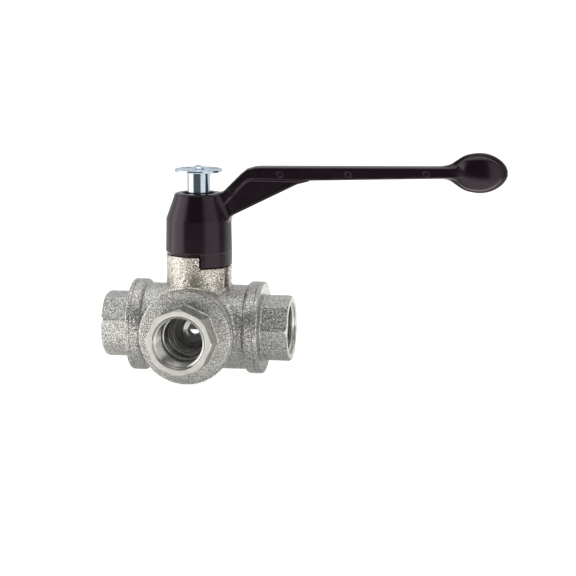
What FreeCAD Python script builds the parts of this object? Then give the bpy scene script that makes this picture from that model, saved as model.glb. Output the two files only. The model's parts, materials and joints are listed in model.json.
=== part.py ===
import FreeCAD, Part
import math
import os

# Three way ball valve, G 1/2, with a lift lever and a padlock flange.
# Millimetres. The valve centre is where the three port axes and the stem axis meet.
# Everything is modelled about the valve centre, then moved so that the origin is
# the centre of port 1's mouth. +Z is up the stem, -Y out of port 1, -X out of
# port 2 and +X out of port 3, which is also the way the lever points at rest.

V = FreeCAD.Vector
UP = V(0, 0, 1)
CENTRE = V(0, 0, 0)

# Driving dimensions
RUN_REACH = 38.3            # valve centre to the mouths of ports 2 and 3
BRANCH_REACH = 39.6         # valve centre to the mouth of port 1
THREAD_R = 10.48            # G 1/2 wall at the thread's major diameter
THREAD_DEPTH = 13.0
OCTAGON_FLATS = 25.0        # spanner size across flats
OCTAGON_CHAMFER_R = 0.6     # turned off its corners at the mouth
OCTAGON_CHAMFER_Z = 1.2
COLLAR_R = 18.7
COLLAR_WIDTH = 1.9
COLLAR_FOOT = 0.8           # fillet between the collar and the octagon
BODY_R = 17.2               # round outside of the body's arms
NECK_R = 13.3
BALL_R = 13.25
FLOW_R = 7.25               # ball bore
STEM_R = 4.5
RUN_FIT = 0.05              # radial clearance where a part turns or slides in another
TOUCH = 0.1                 # ball to seat clearance
LIFT = 6.5                  # travel of the lever along the stem

# Body casting
RIM_END = 25.2              # valve centre to the rims of ports 2 and 3
BRANCH_EXTRA = 1.6          # port 1's rim stands this much farther out
BRANCH_RIM_R = 19.1
CHAMBER_R = 13.7
CONNECTOR_BORE_R = 14.2
BRANCH_ENTRY_R = 13.45      # the ball goes in through port 1
RUN_ENTRY_R = 12.6
ENTRY_END = 14.5
SEAT_R = 9.9
SEAT_INNER_R = 7.4
SEAT_FRONT = 10.0           # valve centre to the seat's ball side
SEAT_BACK = 15.2
SEAT_POCKET_R = SEAT_R + RUN_FIT
SEAT_CUP_R = 12.4           # outside of the seat's cup on a screwed end
PORT_BORE_R = 8.7           # between the seat and the thread
PORT_THROAT_R = 7.5
O_RING_WIRE_R = 0.7
O_RING_GROOVE_R = 12.75
O_RING_GROOVE_WIDTH = 1.8
O_RING_GROOVE_INSET = 1.4   # rim to the groove
BACK_BOSS_R = 15.0
BACK_BOSS_END = 18.4
NECK_FLARE = 2.2

# Neck, its stop recess and the lever's tongue
SHOULDER_Z = 29.8
RECESS_Z = 25.3
INNER_BOSS_R = 10.1
TONGUE_START = -75.0        # degrees about the stem, from +X towards +Y
TONGUE_SPAN = 90.0
TURN = 90.0
STOP_GAP = 1.5              # degrees of play at each end of the turn
NECK_GROOVE_R = 12.4        # upright groove on the neck, beside the tongue
NECK_GROOVE_START = -26.6
NECK_GROOVE_SPAN = 13.4
NECK_RELIEF_R = 12.95       # shallow cast step on the neck
NECK_RELIEF_START = -134.0
NECK_RELIEF_SPAN = 104.0

# Stem and packing
SLOT_FLOOR_Z = 9.7
TANG_Z = 9.8
TANG_WIDTH = 6.0
TANG_LENGTH = 11.0
STEM_COLLAR_R = 6.5
STEM_COLLAR_Z = 13.9
STEM_COLLAR_TOP = 15.4
SHOULDER_ON_STEM_Z = 16.4
PACKING_Z = 21.2
PACKING_SPLIT_Z = 23.7      # between the two packing rings
PACKING_TOP = 26.2
GLAND_RING_TOP = 27.4
PACKING_R = 7.0
SQUARE_Z = 33.5
SQUARE_SIZE = 7.0
SQUARE_TOP = 50.2
STEM_GROOVES_Z = (17.0, 19.1)
STEM_GROOVE_WIDTH = 1.7
STEM_GROOVE_R = 3.1
NUT_FLATS = 15.0
NUT_TOP = 33.2

# Lever
HUB_BASE_Z = 30.0
HUB_CAVITY_R = 10.3
WEB_Z = 34.2
WEB_TOP = 38.2
HUB_TOP = 54.7
HUB_HOLE_R = 6.6
TONGUE_Z = 25.6
TONGUE_IN_R = 10.45
TONGUE_OUT_R = 12.95
ARM_HALF_WIDTH = 4.0
GUSSET_HALF_WIDTH = 2.2
GRIP_Z = 64.75
GRIP_SWELL = 2.2            # widest point of the grip beyond the arm's side

# Post, disc and screw above the lever
POST_R = 4.6
POST_Z = 51.0
DISC_Z = HUB_TOP + LIFT + 2.0
DISC_THICKNESS = 1.2
DISC_R = 9.65
SHACKLE_HOLE_R = 2.1
SHACKLE_HOLE_PLACE = 6.9    # stem axis to each shackle hole
SHACKLE_HOLE_ANGLES = (35.0, 145.0)
SCREW_R = 2.0
SCREW_HEAD_R = 2.7
SCREW_HEAD_HEIGHT = 1.5

# Lift spring
SPRING_R = 5.8              # to the middle of the wire
SPRING_WIRE_R = 0.45
SPRING_TURNS = 5


def turned(outline):
    """A solid of revolution about Z from an outline of (radius, height) points."""
    points = [V(r, 0, z) for r, z in outline]
    face = Part.Face(Part.makePolygon(points + points[:1]))
    return face.revolve(CENTRE, UP, 360)


def ring(inner_r, outer_r, low, high):
    """A plain tube about Z."""
    outer = Part.makeCylinder(outer_r, high - low, V(0, 0, low))
    return outer.cut(Part.makeCylinder(inner_r, high - low, V(0, 0, low)))


def disc(radius, low, high):
    """A plain cylinder about Z."""
    return Part.makeCylinder(radius, high - low, V(0, 0, low))


def sector(inner_r, outer_r, low, high, start, span):
    """A part of a tube about Z, from a start angle through a span, in degrees."""
    wedge = Part.makeCylinder(outer_r, high - low, V(0, 0, low), UP, span)
    wedge = wedge.cut(disc(inner_r, low, high))
    wedge.rotate(CENTRE, UP, start)
    return wedge


def prism(across_flats, sides, low, high):
    """A bar of regular polygon section about Z, with a corner towards +X."""
    corner_r = across_flats / 2 / math.cos(math.pi / sides)
    corners = [
        V(corner_r * math.cos(2 * math.pi * i / sides),
          corner_r * math.sin(2 * math.pi * i / sides), low)
        for i in range(sides)
    ]
    face = Part.Face(Part.makePolygon(corners + corners[:1]))
    return face.extrude(V(0, 0, high - low))


def block(half_x, half_y, low, high):
    """A box centred on the Z axis."""
    return Part.makeBox(2 * half_x, 2 * half_y, high - low, V(-half_x, -half_y, low))


def to_port(shape, port):
    """Turn a shape made along +Z to lie along a port's axis."""
    turned_shape = shape.copy()
    axis, angle = {
        "1": (V(1, 0, 0), 90),
        "2": (V(0, 1, 0), -90),
        "3": (V(0, 1, 0), 90),
        "back": (V(1, 0, 0), -90),
    }[port]
    turned_shape.rotate(CENTRE, axis, angle)
    return turned_shape


def union(shapes):
    """One shape from several that touch or overlap."""
    return shapes[0].fuse(shapes[1:]).removeSplitter()


def arm_outside(rim_end, rim_r):
    """Round outside of one port arm, with its rim."""
    return turned([
        (0, 0), (BODY_R, 0), (BODY_R, rim_end - 5.6),
        (rim_r - 0.5, rim_end - 4.0), (rim_r, rim_end - 3.3),
        (rim_r, rim_end - 0.3), (rim_r - 0.3, rim_end), (0, rim_end),
    ])


def neck_outside():
    """Round neck, flared where it grows out of the arms."""
    flare_top = BODY_R + 2
    return turned([
        (0, 0), (NECK_R + NECK_FLARE, 0), (NECK_R + NECK_FLARE, BODY_R - 3.2),
        (NECK_R + 0.3 * NECK_FLARE, BODY_R + 0.2), (NECK_R, flare_top),
        (NECK_R, SHOULDER_Z), (0, SHOULDER_Z),
    ])


def body_casting():
    outside = union([
        to_port(arm_outside(RIM_END, COLLAR_R), "2"),
        to_port(arm_outside(RIM_END, COLLAR_R), "3"),
        to_port(arm_outside(RIM_END + BRANCH_EXTRA, BRANCH_RIM_R), "1"),
        to_port(turned([
            (0, 0), (BACK_BOSS_R, 0), (BACK_BOSS_R, BACK_BOSS_END - 2),
            (BACK_BOSS_R - 2, BACK_BOSS_END), (0, BACK_BOSS_END),
        ]), "back"),
        neck_outside(),
    ])
    recess_start = TONGUE_START - STOP_GAP
    recess_span = TONGUE_SPAN + TURN + 2 * STOP_GAP
    relief = sector(NECK_RELIEF_R, NECK_R + 1, BODY_R + 2, SHOULDER_Z,
                    NECK_RELIEF_START, NECK_RELIEF_SPAN)
    hollows = [
        sector(INNER_BOSS_R, NECK_R + 1, RECESS_Z, SHOULDER_Z, recess_start, recess_span),
        relief,
        sector(NECK_GROOVE_R, NECK_R + 1, BODY_R + 2, SHOULDER_Z,
               NECK_GROOVE_START, NECK_GROOVE_SPAN),
        Part.makeSphere(CHAMBER_R),
        to_port(disc(SEAT_POCKET_R, 0, SEAT_BACK), "back"),
        to_port(disc(BRANCH_ENTRY_R, 0, ENTRY_END), "1"),
        to_port(disc(CONNECTOR_BORE_R, ENTRY_END, RIM_END + BRANCH_EXTRA), "1"),
        disc(STEM_COLLAR_R + 0.1, BALL_R - 4, SHOULDER_ON_STEM_Z),
        disc(STEM_R + RUN_FIT, SHOULDER_ON_STEM_Z, PACKING_Z),
        disc(PACKING_R, PACKING_Z, SHOULDER_Z),
    ]
    for port in ("2", "3"):
        hollows.append(to_port(disc(RUN_ENTRY_R, 0, ENTRY_END), port))
        hollows.append(to_port(disc(CONNECTOR_BORE_R, ENTRY_END, RIM_END), port))
    return outside.cut(hollows)


def octagon_end(collar_back, mouth, clock):
    """Octagon with turned corners, standing on its round collar."""
    corner_r = OCTAGON_FLATS / 2 / math.cos(math.pi / 8)
    collar_front = collar_back + COLLAR_WIDTH
    bar = prism(OCTAGON_FLATS, 8, collar_back, mouth)
    bar = bar.common(turned([
        (0, collar_back), (corner_r + 1, collar_back),
        (corner_r + 1, mouth - OCTAGON_CHAMFER_Z),
        (corner_r, mouth - OCTAGON_CHAMFER_Z), (corner_r - OCTAGON_CHAMFER_R, mouth), (0, mouth),
    ]))
    bar.rotate(CENTRE, UP, clock)
    collar = turned([
        (0, collar_back), (COLLAR_R - 0.3, collar_back), (COLLAR_R, collar_back + 0.3),
        (COLLAR_R, collar_front - 0.7), (COLLAR_R - 0.2, collar_front - 0.2),
        (COLLAR_R - 0.7, collar_front), (0, collar_front),
    ])
    whole = union([bar, collar])
    foot = []
    for edge in whole.Edges:
        box = edge.BoundBox
        middle = edge.valueAt((edge.FirstParameter + edge.LastParameter) / 2)
        if box.ZLength < 0.01 and abs(box.ZMin - collar_front) < 0.01:
            if math.hypot(middle.x, middle.y) < corner_r + 0.1:
                foot.append(edge)
    return whole.makeFillet(COLLAR_FOOT, foot)


def end_connector(rim_end, mouth, clock):
    """Screwed end: seat pocket, male thread, O-ring groove, collar and octagon."""
    thread_end = mouth - THREAD_DEPTH
    groove_top = rim_end - O_RING_GROOVE_INSET
    groove_low = groove_top - O_RING_GROOVE_WIDTH
    nose_r = CONNECTOR_BORE_R - RUN_FIT
    nose = turned([
        (0, SEAT_BACK - 2.6), (SEAT_CUP_R, SEAT_BACK - 2.6), (SEAT_CUP_R, SEAT_BACK - 0.5),
        (nose_r, SEAT_BACK - 0.5), (nose_r, groove_low), (O_RING_GROOVE_R, groove_low),
        (O_RING_GROOVE_R, groove_top), (nose_r, groove_top), (nose_r, rim_end), (0, rim_end),
    ])
    outside = union([nose, octagon_end(rim_end, mouth, clock)])
    inside = turned([
        (0, SEAT_BACK - 3), (SEAT_POCKET_R, SEAT_BACK - 3), (SEAT_POCKET_R, SEAT_BACK),
        (PORT_THROAT_R, SEAT_BACK), (PORT_THROAT_R, SEAT_BACK + 1.5),
        (PORT_BORE_R, SEAT_BACK + 2.7), (PORT_BORE_R, thread_end - 1.1),
        (THREAD_R, thread_end), (THREAD_R, mouth - 0.3),
        (THREAD_R + 0.3, mouth), (0, mouth),
    ])
    return outside.cut(inside)


def seat():
    """PTFE seat ring, hollowed to the ball's curve."""
    return ring(SEAT_INNER_R, SEAT_R, SEAT_FRONT, SEAT_BACK).cut(
        Part.makeSphere(BALL_R + TOUCH))


def connector_o_ring(rim_end):
    """Seal between a screwed end and the body."""
    middle_r = O_RING_GROOVE_R + O_RING_WIRE_R + 0.02
    middle_z = rim_end - O_RING_GROOVE_INSET - O_RING_GROOVE_WIDTH / 2
    return Part.makeTorus(middle_r, O_RING_WIRE_R, V(0, 0, middle_z))


def ball():
    """Three way ball: a straight run along X, and a branch that faces the closed back."""
    run = Part.makeCylinder(FLOW_R, 4 * BALL_R, V(-2 * BALL_R, 0, 0), V(1, 0, 0))
    branch = Part.makeCylinder(FLOW_R, 2 * BALL_R, CENTRE, V(0, 1, 0))
    slot = block(TANG_WIDTH / 2 + 0.05, 2 * BALL_R, SLOT_FLOOR_Z, 2 * BALL_R)
    return Part.makeSphere(BALL_R).cut([run, branch, slot])


def stem():
    """Tang, anti blow out collar, sealed shaft and the lever's square."""
    tang = block(TANG_WIDTH / 2, TANG_LENGTH / 2, TANG_Z, STEM_COLLAR_Z)
    shaft = turned([
        (0, STEM_COLLAR_Z), (STEM_COLLAR_R, STEM_COLLAR_Z),
        (STEM_COLLAR_R, STEM_COLLAR_TOP), (STEM_R, STEM_COLLAR_TOP),
        (STEM_R, SQUARE_Z), (0, SQUARE_Z),
    ])
    square = block(SQUARE_SIZE / 2, SQUARE_SIZE / 2, SQUARE_Z, SQUARE_TOP)
    square = square.common(disc(STEM_R, SQUARE_Z, SQUARE_TOP))
    grooves = [
        ring(STEM_GROOVE_R, STEM_R + 1, z, z + STEM_GROOVE_WIDTH) for z in STEM_GROOVES_Z
    ]
    screw_hole = disc(SCREW_R + 0.05, SQUARE_TOP - 9, SQUARE_TOP)
    return union([tang, shaft, square]).cut(grooves + [screw_hole])


def stem_o_ring(groove_z):
    middle_r = STEM_GROOVE_R + O_RING_WIRE_R + 0.03
    return Part.makeTorus(middle_r, O_RING_WIRE_R, V(0, 0, groove_z + STEM_GROOVE_WIDTH / 2))


def packing_ring(low, high):
    return ring(STEM_R + RUN_FIT, PACKING_R - 0.05, low, high)


def gland_nut():
    """Hollow screw with a hexagon head that presses on the packing."""
    shank = disc(PACKING_R - 0.05, GLAND_RING_TOP, SHOULDER_Z)
    head = prism(NUT_FLATS, 6, SHOULDER_Z, NUT_TOP).common(turned([
        (0, SHOULDER_Z), (NUT_FLATS, SHOULDER_Z), (NUT_FLATS, NUT_TOP - 0.9),
        (NUT_FLATS / 2, NUT_TOP), (0, NUT_TOP),
    ]))
    return union([shank, head]).cut(disc(STEM_R + 0.1, GLAND_RING_TOP, NUT_TOP))


def lift_spring():
    """Coil spring round the stem's square, between the lever's web and its washer."""
    low = WEB_TOP + SPRING_WIRE_R + 0.05
    high = SQUARE_TOP - SPRING_WIRE_R - 0.05
    pitch = (high - low) / SPRING_TURNS
    path = Part.makeHelix(pitch, high - low, SPRING_R)
    path.translate(V(0, 0, low))
    wire_section = Part.Wire(Part.makeCircle(SPRING_WIRE_R, V(SPRING_R, 0, low), V(0, 1, 0)))
    return Part.Wire(path.Edges).makePipeShell([wire_section], True, True)


def spring_washer():
    return ring(SCREW_R + 0.1, HUB_HOLE_R - 0.3, SQUARE_TOP, POST_Z)


def lock_post():
    return ring(SCREW_R + 0.1, POST_R, POST_Z, DISC_Z)


def lock_disc():
    """Flange disc with rolled edges and two shackle holes."""
    top = DISC_Z + DISC_THICKNESS
    plate = turned([
        (SCREW_R + 0.1, DISC_Z), (DISC_R - 0.4, DISC_Z), (DISC_R, DISC_Z + 0.4),
        (DISC_R, top - 0.4), (DISC_R - 0.4, top), (SCREW_R + 0.1, top),
    ])
    holes = []
    for angle in SHACKLE_HOLE_ANGLES:
        place = V(SHACKLE_HOLE_PLACE, 0, DISC_Z)
        hole = Part.makeCylinder(SHACKLE_HOLE_R, DISC_THICKNESS, place)
        hole.rotate(CENTRE, UP, angle)
        holes.append(hole)
    return plate.cut(holes)


def lock_screw():
    """Domed screw with a three cornered recess, so that a common driver can't undo it."""
    under_head = DISC_Z + DISC_THICKNESS
    shank = disc(SCREW_R, SQUARE_TOP - 8.5, under_head)
    dome_r = (SCREW_HEAD_R ** 2 + SCREW_HEAD_HEIGHT ** 2) / (2 * SCREW_HEAD_HEIGHT)
    dome = Part.makeSphere(dome_r, V(0, 0, under_head + SCREW_HEAD_HEIGHT - dome_r))
    dome = dome.common(disc(SCREW_HEAD_R, under_head, under_head + SCREW_HEAD_HEIGHT))
    recess = prism(1.3, 3, under_head + 0.6, under_head + 3)
    recess.rotate(CENTRE, UP, 90)
    return union([shank, dome]).cut(recess)


def plate_xz(outline, half_width):
    """A plate in the XZ plane, spread to both sides of Y = 0."""
    points = [V(x, -half_width, z) for x, z in outline]
    face = Part.Face(Part.makePolygon(points + points[:1]))
    return face.extrude(V(0, 2 * half_width, 0))


def lever_hub():
    """Cup shaped hub: skirt, drive web with a square hole, and a well round the post."""
    return turned([
        (0, HUB_BASE_Z), (12.5, HUB_BASE_Z), (13.45, HUB_BASE_Z + 1.2), (13.2, 44.5),
        (10.2, 53.2), (9.9, 54.1), (9.3, HUB_TOP), (0, HUB_TOP),
    ])


def lever_hollows():
    """The cup over the gland nut, the well round the post and the drive square."""
    half_square = SQUARE_SIZE / 2 + RUN_FIT
    return [
        disc(HUB_CAVITY_R, HUB_BASE_Z - 5, WEB_Z),
        disc(HUB_HOLE_R, WEB_TOP, HUB_TOP + 20),
        block(half_square, half_square, WEB_Z, WEB_TOP),
    ]


def lever_tongue():
    """Stop that hangs from the hub's skirt into the recess in the neck."""
    return sector(TONGUE_IN_R, TONGUE_OUT_R, TONGUE_Z, WEB_Z, TONGUE_START, TONGUE_SPAN)


def lever_arm():
    """Bar that climbs from the hub, levels out and runs to the grip."""
    bar = plate_xz([
        (7.0, 52.1), (9.6, 54.7), (17.8, 63.0), (20.3, 65.0), (23.5, 65.9), (26.0, 66.05),
        (101.0, 67.2), (101.0, 62.3), (42.1, 60.3), (22.1, 60.4), (20.2, 59.6),
        (17.9, 57.3), (10.4, 49.05), (7.0, 45.3),
    ], ARM_HALF_WIDTH)
    corners = []
    for edge in bar.Edges:
        box = edge.BoundBox
        if box.YLength < 0.01 and box.XMax > 15:
            corners.append(edge)
    bar = bar.makeFillet(1.2, corners)
    gusset = plate_xz([
        (9.0, 43.2), (14.3, 45.9), (40.6, 59.0), (46.0, 61.0), (24.0, 61.8), (19.0, 60.8),
        (16.0, 58.5), (9.0, 52.0),
    ], GUSSET_HALF_WIDTH)
    return [bar, gusset]


def lever_grip():
    """Egg shaped grip, flatter across than it is high, from (place along X, half height)."""
    stations = [
        (98.0, 2.6), (101.0, 3.4), (104.4, 5.2), (107.5, 6.8), (110.6, 7.65), (113.8, 7.95),
        (116.8, 7.55), (119.6, 6.5), (122.2, 4.75), (123.9, 2.7), (124.6, 0.9),
    ]
    widest_x, widest = max(stations, key=lambda station: station[1])
    sections = []
    for x, height in stations:
        width = ARM_HALF_WIDTH + GRIP_SWELL * (height - 2.6) / (widest - 2.6)
        if x > widest_x:
            width = (ARM_HALF_WIDTH + GRIP_SWELL) * math.sqrt(height / widest)
        major, minor = max(width, height), min(width, height)
        oval = Part.Ellipse(CENTRE, major, minor).toShape()
        oval.rotate(CENTRE, V(0, 1, 0), 90)
        if width > height:
            oval.rotate(CENTRE, V(1, 0, 0), 90)
        oval.translate(V(x, 0, GRIP_Z))
        sections.append(Part.Wire(oval))
    return Part.makeLoft(sections, True)


def lever():
    whole = union([lever_hub(), lever_tongue(), lever_grip()] + lever_arm())
    return whole.cut(lever_hollows())


def build():
    """Every sub-part in its place about the valve centre, by node name."""
    branch_rim = RIM_END + BRANCH_EXTRA
    nodes = {
        "body_casting": body_casting(),
        "end_connector_1": to_port(end_connector(branch_rim, BRANCH_REACH, -2.5), "1"),
        "end_connector_2": to_port(end_connector(RIM_END, RUN_REACH, 15.5), "2"),
        "end_connector_3": to_port(end_connector(RIM_END, RUN_REACH, -3.5), "3"),
        "connector_o_ring_1": to_port(connector_o_ring(branch_rim), "1"),
        "connector_o_ring_2": to_port(connector_o_ring(RIM_END), "2"),
        "connector_o_ring_3": to_port(connector_o_ring(RIM_END), "3"),
        "ball": ball(),
        "stem": stem(),
        "thrust_washer": ring(STEM_R + 0.02, STEM_COLLAR_R, STEM_COLLAR_TOP,
                              SHOULDER_ON_STEM_Z - 0.04),
        "stem_o_ring_lower": stem_o_ring(STEM_GROOVES_Z[0]),
        "stem_o_ring_upper": stem_o_ring(STEM_GROOVES_Z[1]),
        "packing_ring_lower": packing_ring(PACKING_Z, PACKING_SPLIT_Z),
        "packing_ring_upper": packing_ring(PACKING_SPLIT_Z, PACKING_TOP),
        "gland_ring": packing_ring(PACKING_TOP, GLAND_RING_TOP),
        "gland_nut": gland_nut(),
        "lever": lever(),
        "lift_spring": lift_spring(),
        "spring_washer": spring_washer(),
        "lock_post": lock_post(),
        "lock_disc": lock_disc(),
        "lock_screw": lock_screw(),
    }
    for port in ("1", "2", "3", "back"):
        nodes["seat_" + port] = to_port(seat(), port)
    return nodes


os.makedirs("parts", exist_ok=True)
for name, shape in build().items():
    placed = shape.copy()
    placed.translate(V(0, BRANCH_REACH, 0))
    solid = placed.Solids[0] if len(placed.Solids) == 1 else placed
    solid.exportStep("parts/" + name + ".step")
    print(name, solid.ShapeType, solid.isValid(), len(placed.Solids), round(solid.Volume, 1))
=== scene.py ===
import itertools
import json
import math

import bpy
import numpy as np
import openvdb
from mathutils import Matrix, Vector


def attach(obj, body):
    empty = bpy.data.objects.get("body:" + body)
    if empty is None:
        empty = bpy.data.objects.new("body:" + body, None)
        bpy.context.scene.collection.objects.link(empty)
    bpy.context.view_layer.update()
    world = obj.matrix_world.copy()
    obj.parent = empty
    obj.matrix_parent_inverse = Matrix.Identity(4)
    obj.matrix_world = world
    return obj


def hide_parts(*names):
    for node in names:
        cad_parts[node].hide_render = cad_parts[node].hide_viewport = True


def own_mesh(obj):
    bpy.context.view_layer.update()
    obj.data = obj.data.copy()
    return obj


# Three way ball valve on a pale floor. Shapes are worked out in millimetres about the
# valve centre, where the port axes meet the stem axis. +Z is up the stem, -Y out of
# port 1, -X out of port 2 and +X out of port 3.

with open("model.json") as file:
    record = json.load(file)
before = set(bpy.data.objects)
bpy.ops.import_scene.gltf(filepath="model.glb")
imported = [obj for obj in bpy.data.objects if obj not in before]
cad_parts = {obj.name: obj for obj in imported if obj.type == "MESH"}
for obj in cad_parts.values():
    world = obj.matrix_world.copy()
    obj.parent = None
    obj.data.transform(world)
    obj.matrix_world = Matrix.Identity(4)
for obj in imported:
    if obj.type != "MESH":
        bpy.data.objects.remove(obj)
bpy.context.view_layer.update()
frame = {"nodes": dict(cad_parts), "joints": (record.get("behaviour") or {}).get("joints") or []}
TURN_JOINT = next(j for j in frame["joints"] if j["name"] == "lever_turn")
CENTRE = Vector(TURN_JOINT["pos_m"])
MM = 0.001
TAU = 2 * math.pi


# ---------------------------------------------------------------- sizes, in mm
RUN_REACH = 38.3               # stem axis to the mouths of ports 2 and 3
BRANCH_REACH = 39.6            # stem axis to the mouth of port 1
THREAD_R = 10.48
THREAD_CREST_R = 9.4
THREAD_PITCH = 1.814
THREAD_DEPTH = 13.0
OCTAGON_FLATS = 25.0
OCTAGON_CORNER_R = OCTAGON_FLATS / 2 / math.cos(math.pi / 8)
CHAMFER_R = 0.6
CHAMFER_Z = 1.2
COLLAR_R = 18.7
COLLAR_WIDTH = 1.9
COLLAR_FOOT = 0.8              # fillet between the collar and the octagon
BODY_R = 17.2
BACK_R = 15.0                  # the closed back
NECK_R = 13.3
RIM_END = 25.2
BRANCH_RIM_END = 26.8
BRANCH_RIM_R = 19.1
SHOULDER_Z = 29.8              # top of the neck
RECESS_Z = 25.3                # floor of the stop recess
ENTRY_R = 14.2                 # body thread, which the ends screw into
CHAMBER_R = 13.7
PACKING_R = 7.0
STEM_HOLE_R = 4.6
BALL_R = 13.25
FLOW_R = 7.25
SEAT_R = 9.9
SEAT_Z = 15.2                  # stem axis to the back of a seat ring
NUT_FLATS = 15.0
NUT_TOP = 33.2
HUB_LOW = 30.4
HUB_TOP = 54.3
TONGUE_LOW = 25.6
ARM_HALF = 4.0                 # half of the arm's width
GUSSET_HALF = 3.2
GRIP_X = 112.5                 # middle of the grip
GRIP_Z = 64.75
GRIP_HALF = 6.2                # half of the grip's thickness
SCREW_R = 2.0
POST_HOLE_R = 2.1
POST_R = 4.6
POST_Z = 51.0
WASHER_Z = 50.2
DISC_Z = 63.2
DISC_TOP = 64.4
DISC_R = 9.65
SHACKLE_HOLE_R = 2.1
SHACKLE_HOLE_AT = 6.9          # stem axis to a shackle hole


# ---------------------------------------------------------------- distance fields
def smooth_union(a, b, k):
    """Two distance fields as one, with a fillet of about k where they meet."""
    share = np.clip(0.5 + 0.5 * (b - a) / k, 0, 1)
    return b + (a - b) * share - k * share * (1 - share)


def smooth_cut(a, b, k):
    """Field a with b taken away, its new edges rounded by about k."""
    return -smooth_union(-a, b, k)


def smooth_common(a, b, k):
    return -smooth_union(-a, -b, k)


def rounded_bar(across, along, half_across, low, high, edge):
    """A bar from low to high, its ends' edges rounded."""
    out = across - (half_across - edge)
    ends = np.abs(along - (low + high) / 2) - ((high - low) / 2 - edge)
    outside = np.hypot(np.maximum(out, 0), np.maximum(ends, 0))
    return outside + np.minimum(np.maximum(out, ends), 0) - edge


def rounded_box(x, y, z, low, high, edge):
    """A box between two corners, with all its edges rounded."""
    gaps = [
        np.abs(value - (a + b) / 2) - ((b - a) / 2 - edge)
        for value, a, b in zip((x, y, z), low, high)
    ]
    outside = np.sqrt(sum(np.maximum(gap, 0) ** 2 for gap in gaps))
    return outside + np.minimum(np.maximum.reduce(gaps), 0) - edge


def polygon_field(u, v, corners):
    """Signed distance to a closed outline in the plane, below 0 inside."""
    nearest = np.full(u.shape, np.inf, u.dtype)
    inside = np.zeros(u.shape, bool)
    for (u0, v0), (u1, v1) in zip(corners, corners[1:] + corners[:1]):
        eu, ev = u1 - u0, v1 - v0
        wu, wv = u - u0, v - v0
        t = np.clip((wu * eu + wv * ev) / (eu * eu + ev * ev), 0, 1)
        nearest = np.minimum(nearest, (wu - t * eu) ** 2 + (wv - t * ev) ** 2)
        if ev != 0:
            inside ^= ((v0 > v) != (v1 > v)) & (u < eu * wv / ev + u0)
    distance = np.sqrt(nearest)
    return np.where(inside, -distance, distance)


def sector_field(x, y, z, inner_r, outer_r, low, high, start, span):
    """Part of a tube about Z, from a start angle through a span, in degrees."""
    r = np.hypot(x, y)
    middle = math.radians(start + span / 2)
    half = math.radians(span / 2)
    angle = np.abs((np.arctan2(y, x) - middle + math.pi) % TAU - math.pi)
    sides = r * np.sin(np.clip(angle - half, -math.pi / 2, math.pi / 2))
    return np.maximum.reduce([inner_r - r, r - outer_r, low - z, z - high, sides])


def grain(points, size, seed):
    """Smooth seeded lumps of about a given size in mm, from -1 to 1."""
    table = np.random.default_rng(seed).uniform(-1, 1, (32, 32, 32))
    cell = points / size
    base = np.floor(cell).astype(int)
    t = cell - base
    t = t * t * (3 - 2 * t)
    total = np.zeros(len(points))
    for corner in itertools.product((0, 1), repeat=3):
        weight = np.prod(np.where(corner, t, 1 - t), axis=1)
        i, j, k = ((base + corner) % 32).T
        total += weight * table[i, j, k]
    return total


def surface(field, low, high, step):
    """Points and quads on the zero level of a field, between two corners in mm."""
    axes = [np.arange(a, b + step, step, dtype=np.float32) for a, b in zip(low, high)]
    values = field(*np.meshgrid(*axes, indexing="ij"))
    grid = openvdb.FloatGrid(3.0)
    grid.copyFromArray(np.clip(values, -3, 3).astype(np.float32))
    grid.transform = openvdb.createLinearTransform(voxelSize=step)
    points, quads = grid.convertToQuads(isovalue=0)
    points = points.astype(float) + np.array(low)
    for _ in range(2):
        points -= slope(field, points) * field(*points.T)[:, None]
    return points, quads


def slope(field, points):
    """Unit gradient of a field at some points."""
    h = 0.04
    parts = []
    for axis in range(3):
        shift = np.zeros(3)
        shift[axis] = h
        parts.append(field(*(points + shift).T) - field(*(points - shift).T))
    gradient = np.stack(parts, axis=1)
    return gradient / np.maximum(np.linalg.norm(gradient, axis=1), 1e-9)[:, None]


# ---------------------------------------------------------------- meshes
PORT_TURNS = {
    "1": Matrix.Rotation(math.pi / 2, 4, "X"),
    "2": Matrix.Rotation(-math.pi / 2, 4, "Y"),
    "3": Matrix.Rotation(math.pi / 2, 4, "Y"),
}


def piece(name, points, faces, body, nodes, materials, normals=None, turn=None):
    """A mesh object from points in mm about the valve centre, riding on a body."""
    faces = np.asarray(faces, np.int32)
    mesh = bpy.data.meshes.new(name)
    mesh.vertices.add(len(points))
    mesh.vertices.foreach_set("co", (np.asarray(points) * MM).astype(np.float32).ravel())
    mesh.loops.add(faces.size)
    mesh.loops.foreach_set("vertex_index", faces.ravel())
    mesh.polygons.add(len(faces))
    mesh.polygons.foreach_set("loop_start", np.arange(0, faces.size, faces.shape[1]))
    mesh.polygons.foreach_set("use_smooth", np.ones(len(faces), bool))
    mesh.update(calc_edges=True)
    if normals is not None:
        mesh.normals_split_custom_set_from_vertices(normals.tolist())
    for material in materials:
        mesh.materials.append(material)
    made = bpy.data.objects.new(name, mesh)
    bpy.context.scene.collection.objects.link(made)
    made.matrix_world = Matrix.Translation(CENTRE) @ (turn or Matrix.Identity(4))
    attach(made, body)
    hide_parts(*nodes)
    return made


def field_piece(name, field, low, high, step, body, nodes, materials, rough=None,
                turn=None):
    """A piece from a distance field. The rough function gives the height of its cast skin."""
    points, faces = surface(field, low, high, step)
    normals = slope(field, points)
    if rough is not None:
        points = points + normals * rough(points)[:, None]
        normals = None
    return piece(name, points, faces, body, nodes, materials, normals, turn)


def upright(name, field, half, low, high, step, body, node, worn):
    """A field piece centred on the stem axis, in one material."""
    field_piece(name, field, (-half, -half, low), (half, half, high), step, body,
                [node], [worn])


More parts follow.
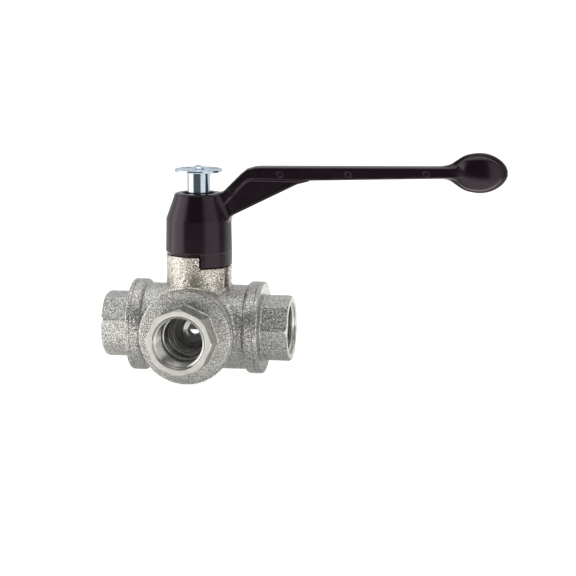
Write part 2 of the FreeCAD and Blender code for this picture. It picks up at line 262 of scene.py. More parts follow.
def ring_faces(columns, rows):
    """Quads of a closed ring of columns, each a closed line of points."""
    i, j = np.meshgrid(np.arange(columns), np.arange(rows), indexing="ij")
    after, up = (i + 1) % columns, (j + 1) % rows
    corners = [i * rows + j, after * rows + j, after * rows + up, i * rows + up]
    return np.stack([corner.ravel() for corner in corners], axis=1)


# ---------------------------------------------------------------- shapes
def rim(across, along, radius, end):
    """Rim of a port arm, rounded on the body's side and flat where the end screws on."""
    rounded = rounded_bar(across, along, radius, end - 4.4, end - 0.2, 1.35)
    flat = rounded_bar(across, along, radius, end - 2.4, end, 0.15)
    return np.minimum(rounded, flat)


def neck_outside(x, y, z):
    """Round neck with a slightly sunk front and an upright groove beside the tongue."""
    neck = rounded_bar(np.hypot(x, y), z, NECK_R, 0, SHOULDER_Z, 0.4)
    front = sector_field(x, y, z, 12.95, 16, 5, SHOULDER_Z + 2, -134, 104)
    groove = sector_field(x, y, z, 12.4, 16, 5, SHOULDER_Z + 2, -26.6, 13.4)
    return smooth_cut(smooth_cut(neck, front, 0.35), groove, 0.5)


def body_outside(x, y, z):
    """Four arms with rims, the closed back and the neck, with cast fillets."""
    along_x, across_x = np.abs(x), np.hypot(y, z)
    along_y, across_y = -y, np.hypot(x, z)
    run = rounded_bar(across_x, x, BODY_R, -RIM_END + 1, RIM_END - 1, 0.5)
    branch = rounded_bar(across_y, along_y, BODY_R, -5, BRANCH_RIM_END - 1, 0.5)
    back = rounded_bar(across_y, -along_y, BACK_R, 0, 18.4, 2.0)
    whole = smooth_union(run, branch, 1.6)
    whole = smooth_union(whole, back, 2.0)
    whole = smooth_union(whole, rim(across_x, along_x, COLLAR_R, RIM_END), 0.5)
    whole = smooth_union(whole, rim(across_y, along_y, BRANCH_RIM_R, BRANCH_RIM_END), 0.5)
    return smooth_union(whole, neck_outside(x, y, z), 1.0)


def body_inside(x, y, z):
    """Ball chamber, port entries, stem hole and packing box."""
    across_x, across_y, across_z = np.hypot(y, z), np.hypot(x, z), np.hypot(x, y)
    hollows = [
        np.sqrt(x * x + y * y + z * z) - CHAMBER_R,
        np.maximum(across_x - 12.6, np.abs(x) - 14.6),
        np.maximum(across_y - 13.45, np.abs(y + 7.3) - 7.3),
        np.maximum(across_x - ENTRY_R, 14.5 - np.abs(x)),
        np.maximum(across_y - ENTRY_R, y + 14.5),
        np.maximum(across_y - 9.95, np.abs(y - 7.6) - 7.6),
        np.maximum(across_z - 6.6, np.abs(z - 12.7) - 3.7),
        np.maximum(across_z - STEM_HOLE_R, np.abs(z - 19) - 4),
        np.maximum(across_z - PACKING_R, 21.2 - z),
    ]
    return np.minimum.reduce(hollows)


def stop_recess(x, y, z):
    """Room for the tongue over its quarter turn, down from the top of the neck."""
    return sector_field(x, y, z, 10.1, 16, RECESS_Z, SHOULDER_Z + 2, -76.5, 183.0)


def body_field(x, y, z):
    whole = body_outside(x, y, z)
    whole = smooth_cut(whole, stop_recess(x, y, z), 0.9)
    return smooth_cut(whole, body_inside(x, y, z), 0.3)


def cast_lumps(points):
    """Height of the cast skin over the smooth shape, none inside the bores."""
    lumps = 0.05 * grain(points, 1.2, 3) + 0.07 * grain(points, 0.6, 4)
    outside = np.clip(1 - np.abs(body_outside(*points.T)) / 0.5, 0, 1)
    return np.minimum(lumps - 0.05, -0.01) * outside


def valve_body(materials):
    return field_piece("cast_body", body_field, (-26, -27.6, -19.8), (26, 19.2, 30.6), 0.3,
                       "body", ["body_casting"], materials, cast_lumps)


def octagon_r(angles, clock):
    """Outside of the octagon at each angle, its corners turned off a little."""
    eighth = math.pi / 4
    offset = (angles - math.radians(clock)) % eighth - eighth / 2
    return np.minimum(OCTAGON_FLATS / 2 / np.cos(offset), OCTAGON_CORNER_R - 0.06)


def line(start, end, count):
    """Points between two (radius, height) places, the end left out. A place may hold
    one value for each angle."""
    share = np.linspace(0, 1, count, endpoint=False)
    return [(start[0] + (end[0] - start[0]) * t, start[1] + (end[1] - start[1]) * t)
            for t in share]


def connector_profile(rim_end, mouth, angle, flat_r):
    """Closed outline of a screwed end at each angle, from its nose out and back inside."""
    back = rim_end + 0.02
    front = rim_end + COLLAR_WIDTH
    foot = COLLAR_FOOT
    edge = 0.12
    corner = 0.7
    chamfer_r = np.minimum(flat_r, OCTAGON_CORNER_R - CHAMFER_R)
    chamfer_z = mouth - CHAMFER_Z * (flat_r - chamfer_r) / CHAMFER_R
    thread_low = mouth - THREAD_DEPTH
    quarter = [math.pi / 2 * i / 6 for i in range(6)]
    outline = line((12.4, 12.6), (12.4, 14.7), 2) + line((14.15, 14.7), (14.15, back), 4)
    outline += line((14.15, back), (COLLAR_R - edge, back), 4)
    outline += line((COLLAR_R - edge, back), (COLLAR_R, back + edge), 2)
    outline += line((COLLAR_R, back + edge), (COLLAR_R, front - corner), 5)
    outline += [(COLLAR_R - corner + corner * math.cos(a), front - corner + corner * math.sin(a))
                for a in quarter]
    outline += line((COLLAR_R - corner, front), (flat_r + foot, front), 12)
    outline += [(flat_r + foot - foot * math.sin(a), front + foot - foot * math.cos(a))
                for a in quarter]
    outline += line((flat_r, front + foot), (flat_r, chamfer_z), 34)
    outline += line((flat_r, chamfer_z), (chamfer_r, mouth), 4)
    outline += line((chamfer_r, mouth), (THREAD_R + 0.3, mouth), 6)
    outline += line((THREAD_R + 0.3, mouth), (THREAD_R - 0.2, mouth - 0.5), 2)
    for t in np.linspace(0, 1, 84, endpoint=False):
        z = mouth - 0.5 - t * (THREAD_DEPTH - 2.0)
        fade = min(1, t * 12, (1 - t) * 16)
        wave = 0.5 + 0.5 * np.cos(TAU * z / THREAD_PITCH - angle)
        outline.append((THREAD_R - (THREAD_R - THREAD_CREST_R) * wave * fade - 0.05, z))
    outline += line((THREAD_R, thread_low + 1.2), (THREAD_R, thread_low), 3)
    outline += line((THREAD_R, thread_low), (8.7, thread_low - 0.05), 3)
    outline += line((8.7, thread_low - 0.05), (8.7, 17.9), 4)
    outline += line((8.7, 17.9), (7.5, 16.7), 3)
    outline += line((7.5, 16.7), (7.5, SEAT_Z), 2)
    outline += line((7.5, SEAT_Z), (9.95, SEAT_Z), 3)
    outline += line((9.95, SEAT_Z), (9.95, 12.6), 3)
    flat = np.zeros_like(angle)
    return np.array([(flat + r, flat + z) for r, z in outline])


def screwed_end(port, rim_end, mouth, clock, materials):
    """Octagon end with its collar and threads: cast outside, turned inside, faced at the mouth.
    The clock angle turns its flats about the port's axis, in degrees."""
    count = 240
    angle = np.arange(count) * TAU / count + math.radians(clock)
    r, z = connector_profile(rim_end, mouth, angle, octagon_r(angle, clock)).transpose(1, 2, 0)
    around = angle[:, None]
    points = np.stack([r * np.cos(around), r * np.sin(around), z], axis=2).reshape(-1, 3)
    rows = r.shape[1]
    lumps = 0.05 * grain(points, 1.3, 7) + 0.06 * grain(points, 0.65, 8)
    lumps = np.minimum(lumps - 0.03, -0.01)
    r = r.ravel()
    z = z.ravel()
    cast = (r > 11.5) * np.clip((mouth - 1.2 - z) / 0.8, 0, 1) * np.clip((z - rim_end) / 0.5, 0, 1)
    points[:, :2] *= (1 + lumps * cast / r)[:, None]
    faces = ring_faces(count, rows)
    made = piece("screwed_end_" + port, points, faces, "body",
                 ["end_connector_" + port], materials, turn=PORT_TURNS[port])
    face_r = r[faces].mean(axis=1)
    face_z = z[faces].mean(axis=1)
    chamfer = (face_r > OCTAGON_CORNER_R - CHAMFER_R) & (face_z > mouth - CHAMFER_Z)
    kind = np.where((face_r < 11.4) | chamfer, 1, 0)
    kind[face_z > mouth - 0.1] = 2
    made.data.polygons.foreach_set("material_index", kind.astype(np.int32))
    return made


# ---------------------------------------------------------------- lever
GRIP_STATIONS = [              # along the arm and half height, in mm
    (96.0, 0.4), (99.0, 1.6), (101.6, 2.9), (104.4, 4.9), (107.5, 6.8), (110.6, 7.65),
    (113.8, 7.95), (116.8, 7.55), (119.6, 6.5), (122.2, 4.75), (123.9, 2.7), (124.6, 0.9),
]
EJECTOR_MARKS = [(14.2, 55.5), (34.0, 62.7), (61.6, 63.2), (92.7, 63.9)]


def plate(side, across, half_width, edge):
    """A plate of an outline's shape, its long edges rounded."""
    ends = across - (half_width - edge)
    outside = np.hypot(np.maximum(side, 0), np.maximum(ends, 0))
    return outside + np.minimum(np.maximum(side, ends), 0) - edge


def curve(points, count):
    """A smooth line through points, with count places in each span."""
    knots = np.array([points[0]] + points + [points[-1]], float)
    t = np.linspace(0, 1, count, endpoint=False)[:, None]
    spans = []
    for a, b, c, d in zip(knots, knots[1:], knots[2:], knots[3:]):
        spans.append(b + t * (c - a) / 2 + t * t * (a - 2.5 * b + 2 * c - d / 2)
                     + t ** 3 * (1.5 * (b - c) + (d - a) / 2))
    return np.vstack(spans + [knots[-1:]])


def grip_field(x, y, z):
    """Egg shaped grip: a rim plate with a domed face on each side."""
    top = curve(GRIP_STATIONS, 4)
    corners = [(a, GRIP_Z + b) for a, b in top] + [(a, GRIP_Z - b) for a, b in top[::-1]]
    side = polygon_field(x, z, corners)
    across = np.abs(y)
    rim_plate = plate(side + 1.1, across, 1.9, 1.1)
    along = (x - GRIP_X) / np.where(x > GRIP_X, 11.8, 9.4)
    egg = np.sqrt(along ** 2 + (y / GRIP_HALF) ** 2 + ((z - GRIP_Z) / 10.5) ** 2)
    dome = smooth_common((egg - 1) * GRIP_HALF, side + 1.1, 1.4)
    return smooth_union(rim_plate, dome, 0.35)


def lever_hub(x, y, z):
    """Cup shaped hub with the stop tongue flush under its skirt."""
    r = np.hypot(x, y)
    cup = [(-1.0, HUB_LOW), (12.7, HUB_LOW), (13.05, 31.3), (12.8, 44.3), (9.75, 52.9),
           (9.5, 53.9), (8.9, HUB_TOP), (-1.0, HUB_TOP)]
    hub = polygon_field(r, z, cup) - 0.4
    tongue = sector_field(x, y, z, 10.45, 13.42, TONGUE_LOW, 33.5, -75.0, 90.0)
    return np.minimum(hub, tongue)


def lever_arm(x, y, z):
    """Bar from the hub to the grip, a little crowned, with a thinner gusset under its slope."""
    bar = [(7.8, 51.2), (9.9, 53.9), (18.2, 62.2), (20.6, 64.1), (23.7, 65.0), (26.0, 65.15),
           (101.0, 66.3), (105.0, 66.3), (108.0, 65.2),
           (108.0, 64.3), (105.0, 63.2), (101.0, 63.2),
           (42.1, 61.2), (22.0, 61.3), (19.6, 60.2), (17.3, 57.9), (9.8, 49.65), (7.8, 47.5)]
    gusset = [(9.5, 43.9), (14.3, 46.6), (40.6, 59.6), (45.0, 60.8), (30.0, 61.8),
              (21.0, 61.9), (16.0, 59.0), (9.5, 52.0)]
    crown = 0.032 * y * y
    bar_field = plate(polygon_field(x, z, bar) - 0.5 + crown, np.abs(y), ARM_HALF, 0.4)
    flush = 0.6 * np.clip((26 - x) / 8, 0, 1)
    gusset_field = plate(polygon_field(x, z, gusset), np.abs(y) - flush, GUSSET_HALF, 0.6)
    return smooth_union(bar_field, gusset_field, 0.7)


def lever_field(x, y, z):
    """The whole casting, with its hollow hub, square hole and ejector pin marks."""
    r = np.hypot(x, y)
    whole = smooth_union(lever_hub(x, y, z), lever_arm(x, y, z), 2.4)
    whole = smooth_union(whole, grip_field(x, y, z), 1.8)
    square = rounded_box(x, y, z, (-3.55, -3.55, 30), (3.55, 3.55, 45), 0.3)
    hollows = np.minimum.reduce([
        np.maximum(r - 10.3, z - 34.2),
        np.maximum(r - 6.6, 38.2 - z),
        square,
    ])
    whole = smooth_cut(whole, hollows, 0.4)
    marks = [np.hypot(np.hypot(x - mx, z - mz) - 1.15, np.abs(y) - ARM_HALF) - 0.24
             for mx, mz in EJECTOR_MARKS]
    return smooth_cut(whole, np.minimum.reduce(marks), 0.1)


def lever(materials):
    return field_piece("lift_lever", lever_field, (-14, -14, 25), (125.2, 14, 73.2), 0.35,
                       "handle", ["lever"], materials)


# ---------------------------------------------------------------- small parts
def ring_field(x, y, z, inner_r, outer_r, low, high, edge):
    """A tube about Z with its edges rounded."""
    middle, half = (inner_r + outer_r) / 2, (outer_r - inner_r) / 2
    return rounded_bar(np.abs(np.hypot(x, y) - middle), z, half, low, high, edge)


def ball_field(x, y, z):
    """Ball with a straight run along X, a branch towards +Y and the stem's slot."""
    whole = np.sqrt(x * x + y * y + z * z) - BALL_R
    run = np.hypot(y, z) - FLOW_R
    branch = np.maximum(np.hypot(x, z) - FLOW_R, -y)
    slot = np.maximum(np.abs(x) - 3.05, 9.7 - z)
    return smooth_cut(whole, np.minimum.reduce([run, branch, slot]), 0.5)


def post_field(x, y, z):
    return ring_field(x, y, z, POST_HOLE_R, POST_R, POST_Z, DISC_Z, 0.25)


def washer_field(x, y, z):
    return ring_field(x, y, z, POST_HOLE_R, 6.3, WASHER_Z, POST_Z, 0.2)


def disc_field(x, y, z):
    """Flange disc with rounded edges and two shackle holes."""
    whole = ring_field(x, y, z, POST_HOLE_R, DISC_R, DISC_Z, DISC_TOP, 0.4)
    for angle in (35, 145):
        around = math.radians(angle)
        hole_x = SHACKLE_HOLE_AT * math.cos(around)
        hole_y = SHACKLE_HOLE_AT * math.sin(around)
        whole = smooth_cut(whole, np.hypot(x - hole_x, y - hole_y) - SHACKLE_HOLE_R, 0.2)
    return whole


def screw_field(x, y, z):
    """Domed head with a three cornered recess, on its shank."""
    r = np.hypot(x, y)
    head_r, head_height = 2.7, 1.5
    dome_r = (head_r ** 2 + head_height ** 2) / (2 * head_height)
    dome = np.sqrt(r * r + (z - DISC_TOP - head_height + dome_r) ** 2) - dome_r
    head = smooth_common(dome, np.maximum(r - head_r, DISC_TOP - z), 0.2)
    shank = rounded_bar(r, z, SCREW_R, 41.7, DISC_TOP + 0.2, 0.2)
    sides = [x * math.cos(a) + y * math.sin(a) - 0.85
             for a in (TAU / 4, TAU * 7 / 12, TAU * 11 / 12)]
    recess = np.maximum.reduce(sides + [DISC_TOP + 0.6 - z])
    return smooth_cut(np.minimum(head, shank), recess, 0.12)


def nut_field(x, y, z):
    """Gland nut: hexagon head with turned corners on a round shank."""
    r = np.hypot(x, y)
    flats = [np.abs(x * math.cos(a) + y * math.sin(a)) - NUT_FLATS / 2
             for a in (TAU / 12, TAU / 4, TAU * 5 / 12)]
    turned = (r - NUT_FLATS / 2 + (z - NUT_TOP) * 1.3) * 0.6
    head = smooth_common(np.maximum.reduce(flats + [SHOULDER_Z - z, z - NUT_TOP]), turned, 0.15)
    shank = ring_field(x, y, z, STEM_HOLE_R, PACKING_R - 0.05, 27.4, 30.4, 0.2)
    return smooth_cut(np.minimum(head, shank), r - STEM_HOLE_R, 0.3)


def seat_field(x, y, z):
    """Seat ring, hollowed to the ball's curve."""
    whole = ring_field(x, y, z, 7.4, SEAT_R, 10.0, SEAT_Z, 0.2)
    return smooth_cut(whole, np.sqrt(x * x + y * y + z * z) - BALL_R - 0.1, 0.1)


def spring(materials):
    """Coil spring of round wire, its top held by the washer. The real spring shortens as the lever
    lifts; this one is made at one length.
    """
    turns, wire_r, coil_r = 5.0, 0.45, 5.8
    low, high = 38.7, 49.7
    steps, sides = 480, 16
    share = np.linspace(0, 1, steps)
    angle = TAU * turns * share
    rise = low + (high - low) * share
    centre = np.stack([coil_r * np.cos(angle), coil_r * np.sin(angle), rise], axis=1)
    out = np.stack([np.cos(angle), np.sin(angle), 0 * angle], axis=1)
    along = np.gradient(centre, axis=0)
    along /= np.linalg.norm(along, axis=1)[:, None]
    side = np.cross(along, out)
    points = [centre + wire_r * (out * math.cos(a) + side * math.sin(a))
              for a in np.arange(sides) * TAU / sides]
    points = np.stack(points, axis=1).reshape(-1, 3)
    faces = []
    for ring in range(steps - 1):
        for k in range(sides):
            here = ring * sides + k
            after = ring * sides + (k + 1) % sides
            faces.append([here, after, after + sides, here + sides])
    last = (steps - 1) * sides
    for k in range(1, sides - 1, 2):
        faces.append([0, k + 2, k + 1, k])
        faces.append([last, last + k, last + k + 1, last + k + 2])
    made = piece("lift_coil", points, faces, "spindle", ["lift_spring"], materials)
    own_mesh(made)


# ---------------------------------------------------------------- materials
def material(name, colour, metallic, roughness):
    made = bpy.data.materials.new(name)
    made.use_nodes = True
    shader = made.node_tree.nodes["Principled BSDF"]
    shader.inputs["Base Color"].default_value = (*colour, 1)
    shader.inputs["Metallic"].default_value = metallic
    shader.inputs["Roughness"].default_value = roughness
    return made


class Nodes:
    """Short ways to add nodes to a material or a world."""

    def __init__(self, made, shader="Principled BSDF"):
        self.tree = made.node_tree
        self.shader = self.tree.nodes[shader]

    def add(self, kind, inputs=None, **settings):
        node = self.tree.nodes.new(kind)
        for key, value in settings.items():
            setattr(node, key, value)
        for key, value in (inputs or {}).items():
            if isinstance(value, bpy.types.NodeSocket):
                self.tree.links.new(value, node.inputs[key])
            else:
                node.inputs[key].default_value = value
        return node

    def place(self):
        """Object coordinates in mm."""
        coordinates = self.add("ShaderNodeTexCoord")
        return self.add("ShaderNodeVectorMath", {0: coordinates.outputs["Object"], 3: 1000.0},
                        operation="SCALE").outputs[0]

    def about_axis(self, where):
        """Distance from the Z axis, and height along it."""
        parts = self.add("ShaderNodeSeparateXYZ", {0: where}).outputs
        flat = self.add("ShaderNodeCombineXYZ", {"X": parts[0], "Y": parts[1]}).outputs[0]
        radius = self.add("ShaderNodeVectorMath", {0: flat}, operation="LENGTH").outputs["Value"]
        return radius, parts[2]

    def noise(self, where, scale, detail, roughness):
        return self.add("ShaderNodeTexNoise", {
            "Vector": where, "Scale": scale, "Detail": detail, "Roughness": roughness,
        }).outputs["Fac"]

    def spread(self, value, low, high, to_low, to_high):
        return self.add("ShaderNodeMapRange", {
            "Value": value, "From Min": low, "From Max": high,
            "To Min": to_low, "To Max": to_high,
        }).outputs["Result"]

    def math(self, operation, a, b, c=0.0):
        return self.add("ShaderNodeMath", {0: a, 1: b, 2: c}, operation=operation).outputs[0]

    def ramp(self, value, stops):
        """Grey levels or colours at stops from 0 to 1, blended between them."""
        node = self.add("ShaderNodeValToRGB", {0: value})
        marks = node.color_ramp.elements
        for position, level in stops:
            if position in (0, 1):
                mark = marks[0] if position == 0 else marks[len(marks) - 1]
            else:
                mark = marks.new(position)
            mark.color = (*(level if isinstance(level, tuple) else (level,) * 3), 1)
        return node.outputs["Color"]

    def blend(self, share, a, b):
        node = self.add("ShaderNodeMix", data_type="RGBA")
        for key, value in ((0, share), (6, a), (7, b)):
            if isinstance(value, bpy.types.NodeSocket):
                self.tree.links.new(value, node.inputs[key])
            else:
                node.inputs[key].default_value = value if key == 0 else (*value, 1)
        return node.outputs[2]

    def bump(self, height, strength, distance_mm):
        inputs = {"Height": height, "Strength": strength, "Distance": distance_mm * MM}
        return self.add("ShaderNodeBump", inputs).outputs[0]

    def connect(self, **sockets):
        for key, value in sockets.items():
            self.tree.links.new(value, self.shader.inputs[key.replace("_", " ")])


def cast_nickel(name, neck=False):
    """Nickel plated casting: a blasted, pebbled skin with pits, its pits and low spots darkened
    with painted shade. The neck is warmer, with painted shade in its groove, recess, top and
    bores.
    """
    made = material(name, (0.62, 0.60, 0.56), 1.0, 0.5)
    n = Nodes(made)
    where = n.place()
    pebbles = n.noise(where, 1.3, 2.0, 0.6)
    fine = n.noise(where, 2.4, 1.0, 0.5)
    patches = n.noise(where, 0.16, 2.0, 0.5)
    pits = n.add("ShaderNodeTexVoronoi", {"Vector": where, "Scale": 0.62}).outputs["Distance"]
    pit = n.spread(pits, 0.10, 0.26, 1.0, 0.0)
    height = n.math("ADD", n.math("MULTIPLY", pebbles, 0.65), n.math("MULTIPLY", fine, 0.35))
    height = n.math("SUBTRACT", height, n.math("MULTIPLY", pit, 0.3))
    colour = n.blend(patches, (0.88, 0.875, 0.85), (0.76, 0.755, 0.73))
    if neck:
        radius, height_up = n.about_axis(where)
        inside = n.spread(radius, NECK_R + 0.3, NECK_R + 0.9, 1.0, 0.0)
        inside = n.math("MULTIPLY", inside, n.spread(height_up, 12.0, 13.0, 0.0, 1.0))
        gold = n.blend(patches, (0.96, 0.91, 0.82), (0.84, 0.79, 0.70))
        colour = n.blend(inside, colour, gold)
        # Painted shade: from radius 12.7 mm inwards the neck's groove, stop recess, top and bores
        # are darkened brown.
        sunk = n.spread(radius, 12.7, 12.55, 0.0, 0.75)
        colour = n.blend(n.math("MULTIPLY", sunk, inside), colour, (0.20, 0.15, 0.11))
    # Painted shade: the pits and the low spots of the fine grain are darkened towards dark grey.
    shaded_low_spots = n.spread(fine, 0.38, 0.60, 0.88, 0.0)
    dark = n.math("MAXIMUM", n.math("MULTIPLY", pit, 0.5), shaded_low_spots)
    colour = n.blend(dark, colour, (0.17, 0.16, 0.145))
    n.connect(
        Base_Color=colour,
        Roughness=n.spread(fine, 0.3, 0.7, 0.34, 0.24),
        Normal=n.bump(height, 1.0, 0.38),
    )
    return made


def machined_nickel(name, smooth, rough, level):
    """Turned and plated metal, with fine marks round the axis. The level dims it."""
    made = material(name, (0.68, 0.66, 0.62), 1.0, smooth)
    n = Nodes(made)
    where = n.place()
    radius, height = n.about_axis(where)
    along = n.add("ShaderNodeCombineXYZ", {"X": radius, "Z": height}).outputs[0]
    marks = n.noise(along, 7.0, 2.0, 0.7)
    stain = n.noise(where, 0.35, 3.0, 0.6)
    colour = n.blend(n.spread(stain, 0.35, 0.7, 0.0, 0.5),
                     tuple(level * c for c in (0.82, 0.81, 0.78)),
                     tuple(level * c for c in (0.60, 0.58, 0.54)))
    n.connect(
        Base_Color=colour,
        Roughness=n.spread(marks, 0.3, 0.7, smooth, rough),
        Normal=n.bump(marks, 0.5, 0.03),
    )
    return made


def black_coat():
    """Satin black coating on a die casting, with the slightest orange peel."""
    made = material("lever_black", (0.0075, 0.0050, 0.0080), 0.0, 0.3)
    n = Nodes(made)
    n.shader.inputs["Specular IOR Level"].default_value = 0.45
    n.shader.inputs["Specular Tint"].default_value = (1.0, 0.80, 0.92, 1)
    where = n.place()
    peel = n.noise(where, 1.6, 2.0, 0.5)
    wear = n.noise(where, 0.12, 3.0, 0.6)
    colour = n.blend(wear, (0.0040, 0.0018, 0.0036), (0.0058, 0.0030, 0.0054))
    n.connect(
        Base_Color=colour,
        Roughness=n.spread(wear, 0.3, 0.7, 0.20, 0.27),
        Normal=n.bump(peel, 0.25, 0.03),
    )
    return made


def plain_metal(name, colour, roughness, spread, scale):
    """Turned metal with light scratches and uneven polish."""
    made = material(name, colour, 1.0, roughness)
    n = Nodes(made)
    where = n.place()
    marks = n.noise(where, scale, 3.0, 0.6)
    n.connect(
        Base_Color=n.blend(n.spread(marks, 0.3, 0.7, 0.0, 1.0), colour,
                           tuple(0.82 * c for c in colour)),
        Roughness=n.spread(marks, 0.3, 0.7, roughness - spread, roughness + spread),
        Normal=n.bump(marks, 0.2, 0.01),
    )
    return made


def soft_material(name, colour, roughness, scale):
    """Rubber or plastic, with a moulded skin."""
    made = material(name, colour, 0.0, roughness)
    n = Nodes(made)
    where = n.place()
    skin = n.noise(where, scale, 3.0, 0.6)
    n.connect(
        Base_Color=n.blend(skin, colour, tuple(0.85 * c for c in colour)),
        Roughness=n.spread(skin, 0.3, 0.7, roughness - 0.06, roughness + 0.06),
        Normal=n.bump(skin, 0.2, 0.02),
    )
    return made


# ---------------------------------------------------------------- stage, in metres
VIEW_AZIMUTH = math.radians(12.4)      # the camera's place, round from port 1 towards port 3
VIEW_ELEVATION = math.radians(10.5)
VIEW_ROLL = math.radians(0.45)
VIEW_DISTANCE = 0.8387


def stage_floor():
    """Pale table, with the part of it that the valve's metal mirrors."""
    half = 12.0
    z = CENTRE.z - BRANCH_RIM_R * MM
    mesh = bpy.data.meshes.new("floor")
    mesh.from_pydata([(-half, -half, z), (half, -half, z), (half, half, z), (-half, half, z)],
                     [], [(0, 1, 2, 3)])
    floor = bpy.data.objects.new("floor", mesh)
    bpy.context.scene.collection.objects.link(floor)
    pale = material("floor_pale", (0.55, 0.55, 0.55), 0.0, 0.9)
    shader = pale.node_tree.nodes["Principled BSDF"]
    shader.inputs["Emission Color"].default_value = (1, 1, 1, 1)
    shader.inputs["Emission Strength"].default_value = 0.86
    mesh.materials.append(pale)
    floor.visible_glossy = False
    lit_patch(z)


def lit_patch(z):
    """The lit part of the table, glowing, with a painted shadow that darkens it close under the
    valve. Only glossy surfaces see it.
    """
    reach, turns = 0.285, 64
    shade_middle = CENTRE + Vector((0.01, 0.004, 0))
    shade_r, lit_r = 0.038, 0.10
    angles = [TAU * i / turns for i in range(turns)]
    rim_points = [(CENTRE.x + reach * math.cos(a), CENTRE.y + reach * math.sin(a), z - 0.0001)
                  for a in angles]
    mesh = bpy.data.meshes.new("lit_patch")
    mesh.from_pydata(rim_points, [], [tuple(range(turns))])
    patch = bpy.data.objects.new("lit_patch", mesh)
    bpy.context.scene.collection.objects.link(patch)
    white = material("lit_white", (0.1, 0.1, 0.1), 0.0, 0.9)
    n = Nodes(white)
    n.shader.inputs["Emission Strength"].default_value = 1.45
    place = n.add("ShaderNodeNewGeometry").outputs["Position"]
    away = n.add("ShaderNodeVectorMath", {0: place, 1: tuple(shade_middle)},
                 operation="DISTANCE").outputs["Value"]
    # Painted shadow: the glow falls to dark grey within shade_r of a point just beside the valve.
    lit = n.spread(away, shade_r, lit_r, 0.0, 1.0)
    n.connect(Emission_Color=n.blend(lit, (0.24, 0.24, 0.235), (1.0, 0.99, 0.96)))
    mesh.materials.append(white)
    patch.visible_camera = False
    patch.visible_diffuse = False
    patch.visible_shadow = False


def aim(obj, place, target, up=Vector((0, 0, 1))):
    """Put a lamp or camera at a place, looking at a target."""
    back = (place - target).normalized()
    right = up.cross(back).normalized()
    top = back.cross(right)
    turn = Matrix((right, top, back)).transposed().to_4x4()
    obj.matrix_world = Matrix.Translation(place) @ turn


def panel(name, azimuth, elevation, distance, width, height, radiance):
    """A soft box at an azimuth from the camera's side, in degrees, seen from the valve."""
    around = VIEW_AZIMUTH + math.radians(azimuth)
    rise = math.radians(elevation)
    away = Vector((math.sin(around) * math.cos(rise), -math.cos(around) * math.cos(rise),
                   math.sin(rise)))
    light = bpy.data.lights.new(name, "AREA")
    light.shape = "RECTANGLE"
    light.size = width
    light.size_y = height
    light.energy = radiance * math.pi * width * height
    lamp = bpy.data.objects.new(name, light)
    bpy.context.scene.collection.objects.link(lamp)
    target = CENTRE + Vector((0, 0, 0.02))
    aim(lamp, target + away * distance, target)
    lamp.visible_camera = False


def soft_boxes():
    panel("soft_left", -83, 5, 0.9, 0.92, 1.1, 1.8)
    panel("soft_right", 47, 5, 0.9, 0.92, 1.1, 0.9)
    panel("soft_top", 20, 85, 0.9, 0.8, 0.8, 0.9)


def backdrop():
    """Light from all round: bright behind the valve, dark in front, even above and below."""
    world = bpy.data.worlds.new("studio")
    bpy.context.scene.world = world
    world.use_nodes = True
    n = Nodes(world, "Background")
    where = n.add("ShaderNodeTexCoord").outputs["Generated"]
    near_side = (math.sin(VIEW_AZIMUTH), -math.cos(VIEW_AZIMUTH), 0)
    near = n.add("ShaderNodeVectorMath", {0: where, 1: near_side},
                 operation="DOT_PRODUCT").outputs["Value"]
    around = n.ramp(n.math("MULTIPLY_ADD", near, 0.5, 0.5), [
        (0, (0.64, 0.65, 0.67)), (0.07, 0.64), (0.16, 0.85), (0.34, 0.85), (0.44, 0.22),
        (0.6, 0.14), (1, 0.10),
    ])
    up = n.add("ShaderNodeSeparateXYZ", {0: where}).outputs["Z"]
    upright_share = n.ramp(n.math("MULTIPLY_ADD", up, 0.5, 0.5), [
        (0, 1.0), (0.14, 1.0), (0.32, 0.0), (0.80, 0.0), (0.97, 1.0), (1, 1.0),
    ])
    n.connect(Color=n.blend(upright_share, around, (0.60, 0.60, 0.60)))


def camera():
    back = Vector((math.sin(VIEW_AZIMUTH) * math.cos(VIEW_ELEVATION),
                   -math.cos(VIEW_AZIMUTH) * math.cos(VIEW_ELEVATION),
                   math.sin(VIEW_ELEVATION)))
    level_right = Vector((math.cos(VIEW_AZIMUTH), math.sin(VIEW_AZIMUTH), 0))
    level_up = back.cross(level_right)
    right = level_right * math.cos(VIEW_ROLL) - level_up * math.sin(VIEW_ROLL)
    up = level_right * math.sin(VIEW_ROLL) + level_up * math.cos(VIEW_ROLL)
    lens = bpy.data.cameras.new("camera")
    lens.sensor_width = 36.0
    lens.lens = 127.9
    lens.clip_start = 0.01
    view = bpy.data.objects.new("camera", lens)
    bpy.context.scene.collection.objects.link(view)
    target = CENTRE + right * 0.0362 + up * 0.0153
    aim(view, CENTRE + back * VIEW_DISTANCE, target, up)
    bpy.context.scene.camera = view


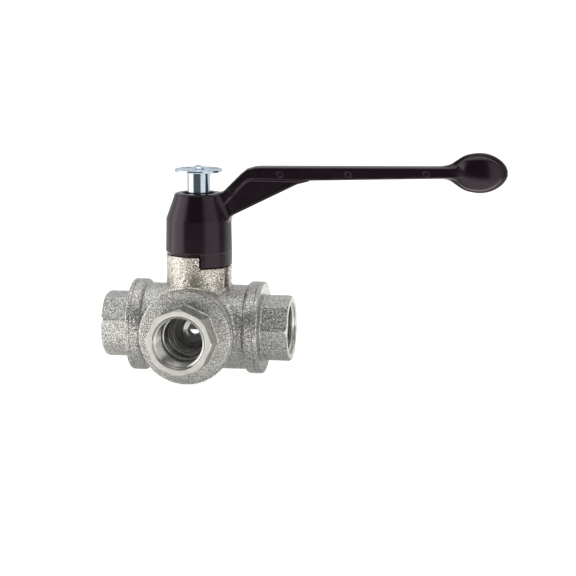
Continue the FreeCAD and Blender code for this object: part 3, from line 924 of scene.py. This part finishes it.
# ---------------------------------------------------------------- build
BODY_CAST = cast_nickel("cast_nickel_body", neck=True)
CAST = cast_nickel("cast_nickel")
TURNED = machined_nickel("turned_nickel", 0.12, 0.26, 0.74)
FACED = machined_nickel("faced_nickel", 0.42, 0.60, 0.94)
BLACK = black_coat()
CHROME = plain_metal("ball_chrome", (0.80, 0.81, 0.82), 0.06, 0.03, 2.0)
BRASS = plain_metal("plain_brass", (0.72, 0.55, 0.28), 0.3, 0.08, 3.0)
ZINC = plain_metal("zinc_plate", (0.64, 0.76, 0.87), 0.14, 0.06, 3.0)
WIRE = plain_metal("spring_steel", (0.6, 0.6, 0.62), 0.28, 0.06, 4.0)
PTFE = soft_material("seat_ptfe", (0.70, 0.70, 0.67), 0.4, 2.0)
RUBBER = soft_material("seal_rubber", (0.02, 0.02, 0.02), 0.5, 2.0)

valve_body([BODY_CAST])
screwed_end("1", BRANCH_RIM_END, BRANCH_REACH, -2.5, [CAST, TURNED, FACED])
screwed_end("2", RIM_END, RUN_REACH, 15.5, [CAST, TURNED, FACED])
screwed_end("3", RIM_END, RUN_REACH, -3.5, [CAST, TURNED, FACED])
lever([BLACK])
spring([WIRE])
upright("mirror_ball", ball_field, 13.8, -13.8, 13.8, 0.4, "spindle", "ball",
        CHROME)
upright("gland_screw", nut_field, 9.2, 27.0, 33.6, 0.25, "body", "gland_nut",
        BRASS)
upright("washer_plate", washer_field, 6.8, 49.8, 51.4, 0.14, "spindle",
        "spring_washer", ZINC)
upright("disc_post", post_field, 5.1, 50.6, 63.6, 0.25, "spindle", "lock_post",
        ZINC)
upright("flange_disc", disc_field, 10.1, 62.9, 64.7, 0.14, "spindle",
        "lock_disc", ZINC)
upright("cap_screw", screw_field, 3.2, 41.3, 66.4, 0.15, "spindle",
        "lock_screw", ZINC)
for port, turn in PORT_TURNS.items():
    field_piece("seat_ring_" + port, seat_field, (-10.4, -10.4, 9.6), (10.4, 10.4, 15.6), 0.25,
                "body", ["seat_" + port], [PTFE], turn=turn)

WEARS = {
    BRASS: ["stem", "gland_ring"],
    PTFE: ["seat_back", "thrust_washer", "packing_ring_lower", "packing_ring_upper"],
    RUBBER: ["connector_o_ring_1", "connector_o_ring_2", "connector_o_ring_3",
             "stem_o_ring_lower", "stem_o_ring_upper"],
}
for worn, names in WEARS.items():
    for name in names:
        slots = frame["nodes"][name].data.materials
        slots.clear()
        slots.append(worn)

stage_floor()
soft_boxes()
backdrop()
camera()
bpy.context.scene.view_settings.view_transform = "Standard"
